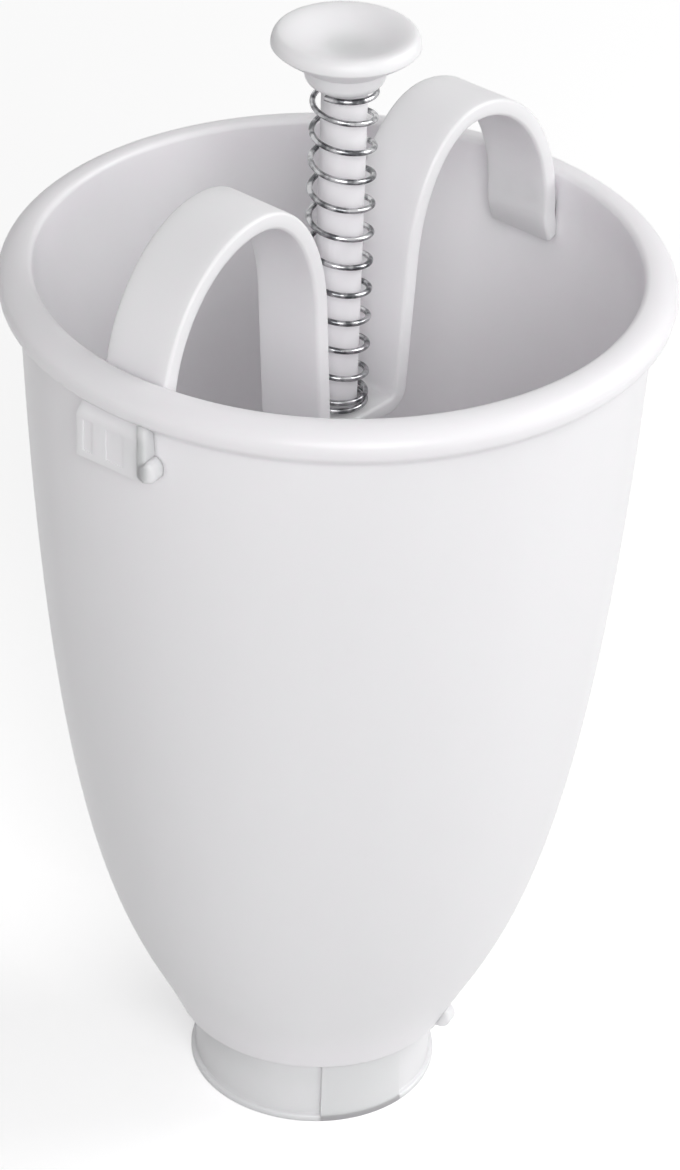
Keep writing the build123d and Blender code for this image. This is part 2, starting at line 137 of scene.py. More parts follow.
class BridgeSizes(bpy.types.PropertyGroup):
    width: length("Width", "Width of the band", BRIDGE_HIGH.y - BRIDGE_LOW.y)
    thickness: length("Thickness", "Thickness of the band", 3.0 * MM)
    edge_round: length("Edge rounding", "Rounding along the edges of the band", 0.9 * MM)
    top_radius: length("Arch radius", "Distance of the top of an arch from the plunger", 27.6 * MM)
    top_height: length("Arch height", "Height of the top of an arch", BRIDGE_HIGH.z)
    leg_radius: length("Leg radius", "Distance of the inner leg from the plunger, where the arch starts", 11.7 * MM)
    leg_lean: angle("Leg lean", "How far the inner leg leans", 4.35)
    foot_radius: length("Foot radius", "Distance of the outer leg from the plunger", 49.3 * MM)
    foot_height: length("Foot height", "Height of the end of the outer leg", 154.6 * MM)
    foot_end_radius: length("Foot end radius", "Distance of the end of the outer leg from the plunger", 50.9 * MM)
    hub_height: length("Hub height", "Height of the top of the hub, where the spring sits", 140 * MM)


class PlungerSizes(bpy.types.PropertyGroup):
    rod_radius: length("Rod radius", "Radius of the plunger's rod", ROD_HIGH.x)
    knob_radius: length("Knob radius", "Widest radius of the thumb knob", 12.5 * MM)
    knob_dish: length("Knob dish", "Depth of the dish in the knob", 2.7 * MM)
    piston_radius: length("Piston radius", "Radius of the metering piston", PISTON_HIGH.x)
    disc_radius: length("Disc radius", "Radius of the cutter disc", DISC_HIGH.x)


class SpringSizes(bpy.types.PropertyGroup):
    wire_radius: length("Wire radius", "Radius of the spring's wire", 0.5 * MM)
    coil_radius: length("Coil radius", "Radius of the coil at the middle of the wire", 5.3 * MM)
    turns: FloatProperty(name="Turns", description="Number of turns", default=12.5, min=2.0)
    close_pitch: length("Close pitch", "Rise of one closed turn at an end", 1.5 * MM)


class CollarSizes(bpy.types.PropertyGroup):
    radius: length("Radius", "Outside radius of the collar", 21.7 * MM)
    height: length("Height", "Height of the collar", COLLAR_HIGH.z)
    lip_radius: length("Lip radius", "Radius of the lip that the dropper stands on", COLLAR_HIGH.x)
    pad_rise: length("Grip rise", "How far the grip pads stand proud", 0.9 * MM)
    pad_angle: angle("Grip place", "Where the middle of a grip pad is", 66)
    pad_span: angle("Grip span", "How far a grip pad reaches round the collar", 42)


class Finishes(bpy.types.PropertyGroup):
    hopper: colour("Hopper", "White of the moulded hopper and collar", "#F4F2F5")
    hopper_flow: colour("Hopper flow", "White where the hopper's plastic flowed last", "#F1EFF2")
    handle: colour("Handle", "White of the bridge and the knob", "#F4F3F5")
    rod: colour("Rod", "White of the rod, the piston and the disc", "#F3F1F4")
    wire: colour("Spring wire", "Bright grey of the polished spring wire", "#C4C4C6")
    # Painted dark reflections: this dark grey is mixed in patches into the spring wire's colour
    wire_painted_reflection: colour("Spring wire painted reflection", "Dark grey painted in patches on the spring wire as dark reflections", "#626366")
    steel: colour("Fasteners", "Grey of the pin and the screw", "#B9BABC")
    # Painted dark reflections: this duller grey is mixed in patches into the colour of the pin and the screw
    steel_painted_reflection: colour("Turned steel painted reflection", "Duller grey painted in patches on the turned steel as dark reflections", "#A2A3A6")
    floor: colour("Floor", "White of the studio floor as the camera sees it", "#F8F8F8")
    bounce: colour("Floor bounce", "Grey of the studio floor as it lights the dropper from below", "#D3D3D3")


class StudioSettings(bpy.types.PropertyGroup):
    camera_reach: length("Camera distance", "Distance of the camera from the plunger, level with the floor", 702.3 * MM)
    camera_height: length("Camera height", "Height of the camera above the floor", 553.7 * MM)
    camera_side: angle("Camera side", "Where the camera stands, seen from above", -140)
    camera_yaw: angle("Camera yaw", "How far the camera looks past the plunger", 0.175)
    camera_pitch: angle("Camera pitch", "How far the camera looks down", 32.714)
    camera_roll: angle("Camera roll", "How far the camera is turned about its own axis", 2.058)
    camera_lens: FloatProperty(
        name="Lens", description="Focal length for a frame 36 mm high", default=146.16, unit="CAMERA", subtype="DISTANCE_CAMERA"
    )
    key_power: FloatProperty(name="Key lamp", description="Power of the lamp above the camera", default=10.0, unit="POWER")
    side_power: FloatProperty(name="Side lamp", description="Power of the lamp on the right", default=8.9, unit="POWER")
    sky: FloatProperty(name="Room light", description="Strength of the light from all around", default=0.34)
    lift: FloatProperty(
        name="Floor lift", description="Plain white that the camera sees added to the floor", default=0.35, subtype="FACTOR"
    )


# Materials


def put(tree, kind, sockets, **settings):
    """Adds a shader node with its settings, each socket given a value or a link."""
    node = tree.nodes.new("ShaderNode" + kind)
    for name, value in settings.items():
        setattr(node, name, value)
    for name, value in sockets.items():
        if isinstance(value, bpy.types.NodeSocket):
            tree.links.new(value, node.inputs[name])
        else:
            node.inputs[name].default_value = value
    return node


def blank_material(name):
    """An empty node tree for a new material."""
    made = bpy.data.materials.new(name)
    made.use_nodes = True
    made.node_tree.nodes.clear()
    return made, made.node_tree


def moulded_plastic(name, main, flow, roughness, grain, subsurface):
    """Injection-moulded polypropylene: a clean white, softened by light inside the wall, with a faint flow of the
    melt upward, a slightly uneven gloss, and the fine orange peel of the mould."""
    made, tree = blank_material(name)
    place = put(tree, "TexCoord", {}).outputs["Object"]
    # The melt ran upward, so its streaks are five times as long as they are wide, about 18 mm across
    upward = put(tree, "Mapping", {"Vector": place, "Scale": (1, 1, 0.2)}).outputs["Vector"]
    streaks = put(tree, "TexNoise", {"Vector": upward, "Scale": 1 / 0.018, "Detail": 3.0, "Roughness": 0.55}).outputs["Fac"]
    tint = put(
        tree, "Mix", {"Factor": streaks, "A": (*main, 1), "B": (*flow, 1)}, data_type="RGBA"
    )
    gloss = put(
        tree,
        "MapRange",
        {"Value": streaks, "From Min": 0.3, "From Max": 0.7, "To Min": roughness - 0.04, "To Max": roughness + 0.06},
    ).outputs["Result"]
    # Orange peel about 1 mm across, and under it a slow waviness of the mould about 12 mm across
    peel = put(tree, "TexNoise", {"Vector": place, "Scale": 1 / grain, "Detail": 2.0, "Roughness": 0.5}).outputs["Fac"]
    wave = put(tree, "TexNoise", {"Vector": upward, "Scale": 1 / 0.012, "Detail": 1.0}).outputs["Fac"]
    waved = put(tree, "Bump", {"Height": wave, "Strength": 0.25, "Distance": 0.12 * MM}).outputs["Normal"]
    skin = put(tree, "Bump", {"Height": peel, "Normal": waved, "Strength": 0.3, "Distance": 0.02 * MM}).outputs["Normal"]
    shader = put(
        tree,
        "BsdfPrincipled",
        {
            "Base Color": tint.outputs["Result"],
            "Roughness": gloss,
            "Normal": skin,
            "IOR": 1.49,
            "Subsurface Weight": subsurface,
            "Subsurface Radius": (1.0, 0.9, 0.95),
            "Subsurface Scale": 4 * MM,
        },
    )
    put(tree, "OutputMaterial", {"Surface": shader.outputs["BSDF"]})
    return made


def drawn_steel(name, main, dark, roughness, streak, patch):
    """Drawn and polished stainless steel: bright, with dark reflections painted into its colour in patches, and lines
    of the drawing die that break its gloss.
    """
    made, tree = blank_material(name)
    place = put(tree, "TexCoord", {}).outputs["Object"]
    lines = put(tree, "TexNoise", {"Vector": place, "Scale": 1 / streak, "Detail": 4.0, "Roughness": 0.6}).outputs["Fac"]
    gloss = put(
        tree,
        "MapRange",
        {"Value": lines, "From Min": 0.3, "From Max": 0.7, "To Min": roughness - 0.04, "To Max": roughness + 0.05},
    ).outputs["Result"]
    scratch = put(tree, "Bump", {"Height": lines, "Strength": 0.15, "Distance": 0.01 * MM}).outputs["Normal"]
    # Painted dark reflections: patches of noise mix the dark grey into the bright base colour
    patches = put(tree, "TexNoise", {"Vector": place, "Scale": 1 / patch, "Detail": 2.0, "Roughness": 0.5}).outputs["Fac"]
    painted_reflection_share = put(
        tree, "MapRange", {"Value": patches, "From Min": 0.4, "From Max": 0.6, "To Min": 0.0, "To Max": 1.0}
    ).outputs["Result"]
    tint = put(tree, "Mix", {"Factor": painted_reflection_share, "A": (*dark, 1), "B": (*main, 1)}, data_type="RGBA").outputs["Result"]
    shader = put(tree, "BsdfPrincipled", {"Base Color": tint, "Metallic": 1.0, "Roughness": gloss, "Normal": scratch})
    put(tree, "OutputMaterial", {"Surface": shader.outputs["BSDF"]})
    return made


def studio_floor(name, main, bounce, lift):
    """Matt studio paper: pale, taking the soft shadow, and lifted towards white for the camera and for reflections."""
    made, tree = blank_material(name)
    seen = put(tree, "LightPath", {})
    looked_at = put(
        tree, "Math", {0: seen.outputs["Is Camera Ray"], 1: seen.outputs["Is Glossy Ray"]}, operation="MAXIMUM"
    )
    looked_at = put(
        tree, "Math", {0: looked_at.outputs[0], 1: seen.outputs["Is Transmission Ray"]}, operation="MAXIMUM"
    ).outputs[0]
    tone = put(tree, "Mix", {"Factor": looked_at, "A": (*bounce, 1), "B": (*main, 1)}, data_type="RGBA")
    share = put(tree, "Math", {0: looked_at, 1: lift}, operation="MULTIPLY").outputs[0]
    paper = put(tree, "BsdfDiffuse", {"Color": tone.outputs["Result"]}).outputs["BSDF"]
    white = put(tree, "Emission", {"Color": (1, 1, 1, 1), "Strength": share}).outputs["Emission"]
    lifted = put(tree, "AddShader", {0: paper, 1: white})
    # Away from the dropper the paper fades to the plain white of the background, so that no horizon shows
    place = put(tree, "TexCoord", {}).outputs["Object"]
    away = put(tree, "VectorMath", {0: place}, operation="LENGTH").outputs["Value"]
    far = put(
        tree, "MapRange", {"Value": away, "From Min": 0.25, "From Max": 0.9}, interpolation_type="SMOOTHSTEP"
    ).outputs["Result"]
    fade = put(tree, "Math", {0: looked_at, 1: far}, operation="MULTIPLY").outputs[0]
    plain = put(tree, "Emission", {"Color": (1, 1, 1, 1), "Strength": 1.0}).outputs["Emission"]
    faded = put(tree, "MixShader", {0: fade, 1: lifted.outputs[0], 2: plain})
    put(tree, "OutputMaterial", {"Surface": faded.outputs[0]})
    return made


def finish(name):
    """The material of a finish, made the first time that it is asked for."""
    if name in bpy.data.materials:
        return bpy.data.materials[name]
    tones = bpy.context.scene.dropper_finishes
    if name == "polypropylene_hopper":
        # Polypropylene, moulded against a polished core: semi-gloss
        return moulded_plastic(name, tones.hopper, tones.hopper_flow, 0.35, 1.1 * MM, 0.6)
    if name == "polypropylene_handle":
        # Polypropylene from a second mould, a little whiter and milkier
        return moulded_plastic(name, tones.handle, tones.hopper, 0.36, 1.0 * MM, 0.6)
    if name == "acetal_rod":
        # Acetal, moulded and left satin so that it slides
        return moulded_plastic(name, tones.rod, tones.hopper, 0.42, 0.8 * MM, 0.3)
    if name == "spring_steel_wire":
        # Stainless spring wire, drawn and polished, with dark reflections painted in patches
        return drawn_steel(name, tones.wire, tones.wire_painted_reflection, 0.18, 0.5 * MM, 2.2 * MM)
    # Stainless steel of the pin and the screw, turned and left plain, with dark reflections painted in patches
    return drawn_steel(name, tones.steel, tones.steel_painted_reflection, 0.36, 0.3 * MM, 3.0 * MM)


# Shaping


def ease(start, corner, end, count):
    """Points on a curve that leaves its start and reaches its end towards a corner, as a quarter of an ellipse does."""
    a, b, c = Vector(start), Vector(corner), Vector(end)
    quarter = 0.5523
    return [tuple(p) for p in geometry.interpolate_bezier(a, a.lerp(b, quarter), c.lerp(b, quarter), c, count)]


def turn(bm, outline, steps, sweep=2 * math.pi, start=0.0):
    """Turns an outline of radius and height about the plunger's axis, closed unless both of its ends are on the axis."""
    corners = [bm.verts.new((r, 0, z)) for r, z in outline]
    ends_on_axis = max(outline[0][0], outline[-1][0]) < 0.001 * MM
    following = corners[1:] if ends_on_axis else corners[1:] + corners[:1]
    sides = [bm.edges.new(pair) for pair in zip(corners, following)]
    bmesh.ops.rotate(bm, verts=corners, cent=(0, 0, 0), matrix=Matrix.Rotation(start, 3, "Z"))
    bmesh.ops.spin(
        bm,
        geom=corners + sides,
        cent=(0, 0, 0),
        axis=(0, 0, 1),
        angle=sweep,
        steps=steps,
        use_merge=sweep >= 2 * math.pi,
        use_duplicate=False,
    )
    bmesh.ops.remove_doubles(bm, verts=bm.verts[:], dist=0.001 * MM)
    bmesh.ops.dissolve_degenerate(bm, edges=bm.edges[:], dist=0.001 * MM)


def soften(bm, edges, size, segments):
    """Rounds edges."""
    bmesh.ops.bevel(
        bm,
        geom=edges,
        offset=size,
        offset_type="OFFSET",
        segments=segments,
        profile=0.5,
        affect="EDGES",
        material=-1,
        clamp_overlap=True,
    )


def ring(bm, radius, height):
    """The edges of a turned piece that run round at a radius and a height."""
    near = 0.02 * MM

    def on_it(vert):
        return abs(vert.co.xy.length - radius) < near and abs(vert.co.z - height) < near

    return [e for e in bm.edges if on_it(e.verts[0]) and on_it(e.verts[1])]


def crease(bm, least, test):
    """Edges that fold by more than an angle, among those whose middle passes a test."""
    return [
        e
        for e in bm.edges
        if e.is_manifold and e.calc_face_angle() > least and test((e.verts[0].co + e.verts[1].co) / 2)
    ]


def all_geometry(bm):
    return bm.verts[:] + bm.edges[:] + bm.faces[:]


def stadium(bm, radius, straight, depth, place):
    """A plate with one round end and a straight run behind it, made in the XY plane and put in its place."""
    disc = bmesh.ops.create_circle(bm, cap_ends=True, radius=radius, segments=48)["verts"]
    bmesh.ops.translate(bm, verts=[v for v in disc if v.co.y > 0.01 * MM], vec=(0, straight, 0))
    face = disc[0].link_faces[0]
    grown = bmesh.ops.extrude_face_region(bm, geom=[face])["geom"]
    top = [v for v in grown if isinstance(v, bmesh.types.BMVert)]
    bmesh.ops.translate(bm, verts=top, vec=(0, 0, depth))
    whole = disc + top
    bmesh.ops.transform(bm, matrix=place, verts=whole)
    return whole


def sink(bm, faces, radius):
    """Pushes faces of a turned wall in or out to a radius, with new walls round them."""
    grown = bmesh.ops.extrude_face_region(bm, geom=faces)["geom"]
    bmesh.ops.delete(bm, geom=faces, context="FACES")
    for vert in (v for v in grown if isinstance(v, bmesh.types.BMVert)):
        vert.co.xy *= radius / vert.co.xy.length


def slice_faces(bm, faces, cuts):
    """Cuts faces along planes, each given by a point and a direction, and returns all that they became."""
    for point, direction in cuts:
        geom = list({v for f in faces for v in f.verts} | {e for f in faces for e in f.edges}) + faces
        cut = bmesh.ops.bisect_plane(bm, geom=geom, dist=0.0001 * MM, plane_co=point, plane_no=direction)
        faces = [f for f in cut["geom"] if isinstance(f, bmesh.types.BMFace)]
    return faces


def radial_cut(turned):
    """A plane through the plunger's axis, at an angle."""
    return (0, 0, 0), (-math.sin(turned), math.cos(turned), 0)


def place_of(face):
    """The radius, angle and height of the middle of a face."""
    middle = face.calc_center_median()
    return middle.xy.length, math.atan2(middle.y, middle.x), middle.z


def second_side(bm):
    """Repeats a half of a piece on the other side of the plunger and closes the seams."""
    copied = bmesh.ops.duplicate(bm, geom=all_geometry(bm))["geom"]
    verts = [v for v in copied if isinstance(v, bmesh.types.BMVert)]
    bmesh.ops.rotate(bm, verts=verts, cent=(0, 0, 0), matrix=Matrix.Rotation(math.pi, 3, "Z"))
    bmesh.ops.remove_doubles(bm, verts=bm.verts[:], dist=0.001 * MM)


def make_piece(bm, name, body, material, replaced):
    """Turns finished geometry into a piece that rides on a body and stands for its solids."""
    bmesh.ops.recalc_face_normals(bm, faces=bm.faces[:])
    mesh = bpy.data.meshes.new(name)
    bm.to_mesh(mesh)
    bm.free()
    mesh.shade_smooth()
    mesh.set_sharp_from_angle(angle=math.radians(38))
    piece = bpy.data.objects.new(name, mesh)
    bpy.context.scene.collection.objects.link(piece)
    mesh.materials.append(finish(material))
    even = piece.modifiers.new("even_shading", "WEIGHTED_NORMAL")
    even.keep_sharp = True
    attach(piece, body)
    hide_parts(*replaced)
    return piece


# Pieces


class DROPPER_OT_hopper(bpy.types.Operator):
    """Build the bell-shaped hopper with its rolled rim, pockets, hook ribs, ears and neck"""

    bl_idname = "dropper.hopper"
    bl_label = "Hopper"

    def execute(self, context):
        s = context.scene.dropper_hopper
        bm = bmesh.new()
        foot_lean = Vector((math.sin(s.foot_angle), math.cos(s.foot_angle))) * s.foot_pull
        mouth_lean = Vector((math.sin(s.mouth_angle), math.cos(s.mouth_angle))) * s.mouth_pull

        def side(inset, count):
            foot = Vector((s.foot_radius - inset, s.foot_height))
            mouth = Vector((s.mouth_radius - inset, s.mouth_height))
            return [
                tuple(p)
                for p in geometry.interpolate_bezier(foot, foot + foot_lean, mouth - mouth_lean, mouth, count)
            ]

        # Section: up the outside, over the rolled rim, down the inside, and round the neck
        neck = s.throat_radius + s.neck_wall
        neck_end = HOPPER_LOW.z
        crown = s.mouth_radius - s.wall + 1.1 * MM
        widest = s.rim_height - 3.4 * MM
        groove = (s.mouth_radius + 0.4 * MM, s.mouth_height + 3.0 * MM)
        lip = (s.rim_radius - 0.4 * MM, s.mouth_height + 5.4 * MM)
        outside = side(0, 48)
        inside = [p for p in side(s.wall, 48) if p[1] > s.funnel_height]
        roll = ease((s.rim_radius, widest), (s.rim_radius, s.rim_height), (crown, s.rim_height), 12)
        inner_wall = s.mouth_radius - s.wall
        tuck = ease((crown, s.rim_height), (inner_wall, s.rim_height), (inner_wall, s.rim_height - 1.1 * MM), 6)
        outline = (
            outside
            + [groove, lip]
            + roll
            + tuck[1:]
            + inside[::-1]
            + [
                (s.throat_radius, s.floor_height),
                (s.throat_radius, neck_end),
                (neck, neck_end),
                (neck, s.foot_height),
            ]
        )
        turn(bm, outline, 96, sweep=math.pi, start=-math.pi / 2)
        soften(bm, ring(bm, *outside[0]), 1.1 * MM, 5)
        soften(bm, ring(bm, *inside[0]), 3.5 * MM, 6)
        soften(bm, ring(bm, s.throat_radius, s.floor_height), 1.0 * MM, 4)
        soften(bm, ring(bm, s.throat_radius, neck_end) + ring(bm, neck, neck_end), 0.4 * MM, 3)
        soften(bm, ring(bm, *lip), 0.6 * MM, 4)
        soften(bm, ring(bm, *groove), 0.6 * MM, 4)
        soften(bm, ring(bm, neck, s.foot_height), 0.4 * MM, 2)

        self.pocket(bm, s)
        self.foot_seat(bm, s, context.scene.dropper_bridge)
        self.lug(bm, neck)
        self.hook_rib(bm, s)
        self.ear(bm, s)
        second_side(bm)
        make_piece(bm, "hopper", "hopper", "polypropylene_hopper", ["hopper_cup"])
        return {"FINISHED"}

    def pocket(self, bm, s):
        """The pocket on the outside, pushed out of the wall, with two shallow recesses in its face."""
        middle_of_wall = s.mouth_radius - s.wall / 2
        recesses = [(-6.2, -4.2), (-1.2, 2.6)]
        recess_low, recess_high = s.pocket_low + 1.3 * MM, s.pocket_high - 2.7 * MM

        faces = []
        for face in bm.faces:
            radius, turned, height = place_of(face)
            if radius > middle_of_wall and abs(turned) < 0.28 and 145 * MM < height < 162.3 * MM:
                faces.append(face)
        brow = s.pocket_high - 2.0 * MM
        cuts = [((0, 0, h), (0, 0, 1)) for h in (s.pocket_low, recess_low, recess_high, brow, s.pocket_high)]
        cuts += [radial_cut(a) for a in (s.pocket_start, s.pocket_end)]
        cuts += [radial_cut(math.radians(a)) for span in recesses for a in span]
        front = []
        for face in slice_faces(bm, faces, cuts):
            radius, turned, height = place_of(face)
            if s.pocket_start < turned < s.pocket_end and s.pocket_low < height < s.pocket_high:
                front.append(face)
        sink(bm, front, s.pocket_radius)

        def on_pocket(point):
            turned = math.atan2(point.y, point.x)
            return (
                point.xy.length > middle_of_wall
                and s.pocket_start - 0.01 < turned < s.pocket_end + 0.01
                and s.pocket_low - 0.1 * MM < point.z < s.pocket_high + 0.1 * MM
            )

        # Above its brow the pocket slopes back to the underside of the rim
        for vert in bm.verts:
            turned = math.atan2(vert.co.y, vert.co.x)
            if vert.co.xy.length > s.pocket_radius - 0.01 * MM and brow + 0.1 * MM < vert.co.z < s.pocket_high + 0.01 * MM:
                if s.pocket_start - 0.001 < turned < s.pocket_end + 0.001:
                    share = (vert.co.z - brow) / (s.pocket_high - brow)
                    vert.co.xy *= 1 - 0.9 * MM * share / s.pocket_radius
        soften(bm, crease(bm, math.radians(20), lambda p: on_pocket(p) and p.z < s.pocket_high - 0.1 * MM), 0.7 * MM, 4)
        sunk = []
        for face in bm.faces:
            radius, turned, height = place_of(face)
            in_span = any(math.radians(a) < turned < math.radians(b) for a, b in recesses)
            if radius > s.pocket_radius - 0.05 * MM and in_span and recess_low < height < recess_high:
                sunk.append(face)
        sink(bm, sunk, s.pocket_radius - 0.15 * MM)
        soften(bm, crease(bm, math.radians(35), lambda p: on_pocket(p) and p.xy.length > s.pocket_radius - 0.3 * MM), 0.06 * MM, 2)
        # Short edges left where the roundings meet are merged away
        bmesh.ops.remove_doubles(bm, verts=[v for v in bm.verts if on_pocket(v.co)], dist=0.01 * MM)
        # The face is flat, not round like the wall, so that it stands out most at its end away from the hook
        step = 1.6 * MM
        for vert in (v for v in bm.verts if on_pocket(v.co)):
            turned = math.atan2(vert.co.y, vert.co.x)
            share = min(1, max(0, (vert.co.xy.length - s.pocket_radius + step) / step))
            vert.co.xy *= 1 + share * (1 / math.cos(turned - s.pocket_facing) - 1)

    def foot_seat(self, bm, s, bridge):
        """The shallow seat in the wall that the outer leg of the bridge leans into."""
        inner_wall = s.mouth_radius - s.wall
        half_width = bridge.width / 2 - 0.4 * MM
        low, high = bridge.foot_height - 0.15 * MM, bridge.foot_height + 7 * MM
        faces = []
        for face in bm.faces:
            radius, turned, height = place_of(face)
            if radius < inner_wall + 0.5 * MM and abs(turned) < 0.3 and 140 * MM < height < 166 * MM:
                faces.append(face)
        cuts = [((0, 0, low), (0, 0, 1)), ((0, 0, high), (0, 0, 1))]
        cuts += [((0, y, 0), (0, 1, 0)) for y in (-half_width, half_width)]
        opening = []
        for face in slice_faces(bm, faces, cuts):
            middle = face.calc_center_median()
            if abs(middle.y) < half_width and low < middle.z < high:
                opening.append(face)
        grown = bmesh.ops.extrude_face_region(bm, geom=opening)["geom"]
        bmesh.ops.delete(bm, geom=opening, context="FACES")
        deepest = bridge.foot_end_radius + bridge.thickness / 2 + 0.1 * MM
        for vert in (v for v in grown if isinstance(v, bmesh.types.BMVert)):
            share = (vert.co.z - low) / (high - low)
            vert.co.x = deepest + (inner_wall + 0.05 * MM - deepest) * share

    def lug(self, bm, neck):
        """A bayonet lug on the neck, which turns in the track of the collar."""
        part = bmesh.new()
        middle, half = math.radians(80), math.radians(7)
        low, high = 8.0 * MM, 10.4 * MM
        section = [(neck - 1 * MM, low), (neck + 1.9 * MM, low), (neck + 1.9 * MM, high), (neck - 1 * MM, high)]
        turn(part, section, 8, sweep=2 * half, start=middle - half)
        bmesh.ops.holes_fill(part, edges=part.edges[:], sides=0)
        join(bm, part)

    def hook_rib(self, bm, s):
        """The narrow rib beside the pocket, which ends in a round peg below."""
        part = bmesh.new()
        straight = s.pocket_high + 0.7 * MM - s.hook_low - s.hook_width / 2
        # The plate is drawn in the XY plane, so it is stood up and then turned to its place
        place = (
            Matrix.Rotation(s.hook_angle, 4, "Z")
            @ Matrix.Translation((s.hook_reach, 0, s.hook_low + s.hook_width / 2))
            @ Matrix.Rotation(math.pi / 2, 4, "Z")
            @ Matrix.Rotation(math.pi / 2, 4, "X")
        )
        stadium(part, s.hook_width / 2, straight, -3.4 * MM, place)
        soften(part, crease(part, 1.0, lambda p: p.xy.length > s.hook_reach - 0.5 * MM), 0.7 * MM, 5)
        join(bm, part)
        part = bmesh.new()
        peg = 1.75 * MM
        place = (
            Matrix.Rotation(s.hook_angle, 4, "Z")
            @ Matrix.Translation((s.hook_reach + 0.1 * MM, 0.8 * MM, s.hook_low + peg - 0.3 * MM))
            @ Matrix.Rotation(math.pi / 2, 4, "Z")
            @ Matrix.Rotation(math.pi / 2, 4, "X")
        )
        stadium(part, peg, 0.8 * MM, -3.4 * MM, place)
        soften(part, crease(part, 1.0, lambda p: p.xy.length > s.hook_reach - 0.8 * MM), 1.1 * MM, 6)
        join(bm, part)

    def ear(self, bm, s):
        """The small round ear at the foot of the bell."""
        part = bmesh.new()
        height, thickness = 4.2 * MM, 3.0 * MM
        middle = s.foot_height + 0.7 * MM + height / 2
        place = (
            Matrix.Rotation(math.radians(-75), 4, "Z")
            @ Matrix.Translation((s.ear_radius - height / 2, thickness / 2, middle))
            @ Matrix.Rotation(math.pi / 2, 4, "X")
            @ Matrix.Rotation(math.pi / 2, 4, "Z")
        )
        stadium(part, height / 2, 3 * MM, thickness, place)
        soften(part, crease(part, 1.0, lambda p: True), 0.5 * MM, 4)
        join(bm, part)


def join(bm, part):
    """Adds a finished part to a piece."""
    bmesh.ops.recalc_face_normals(part, faces=part.faces[:])
    mesh = bpy.data.meshes.new("part")
    part.to_mesh(mesh)
    part.free()
    bm.from_mesh(mesh)
    bpy.data.meshes.remove(mesh)


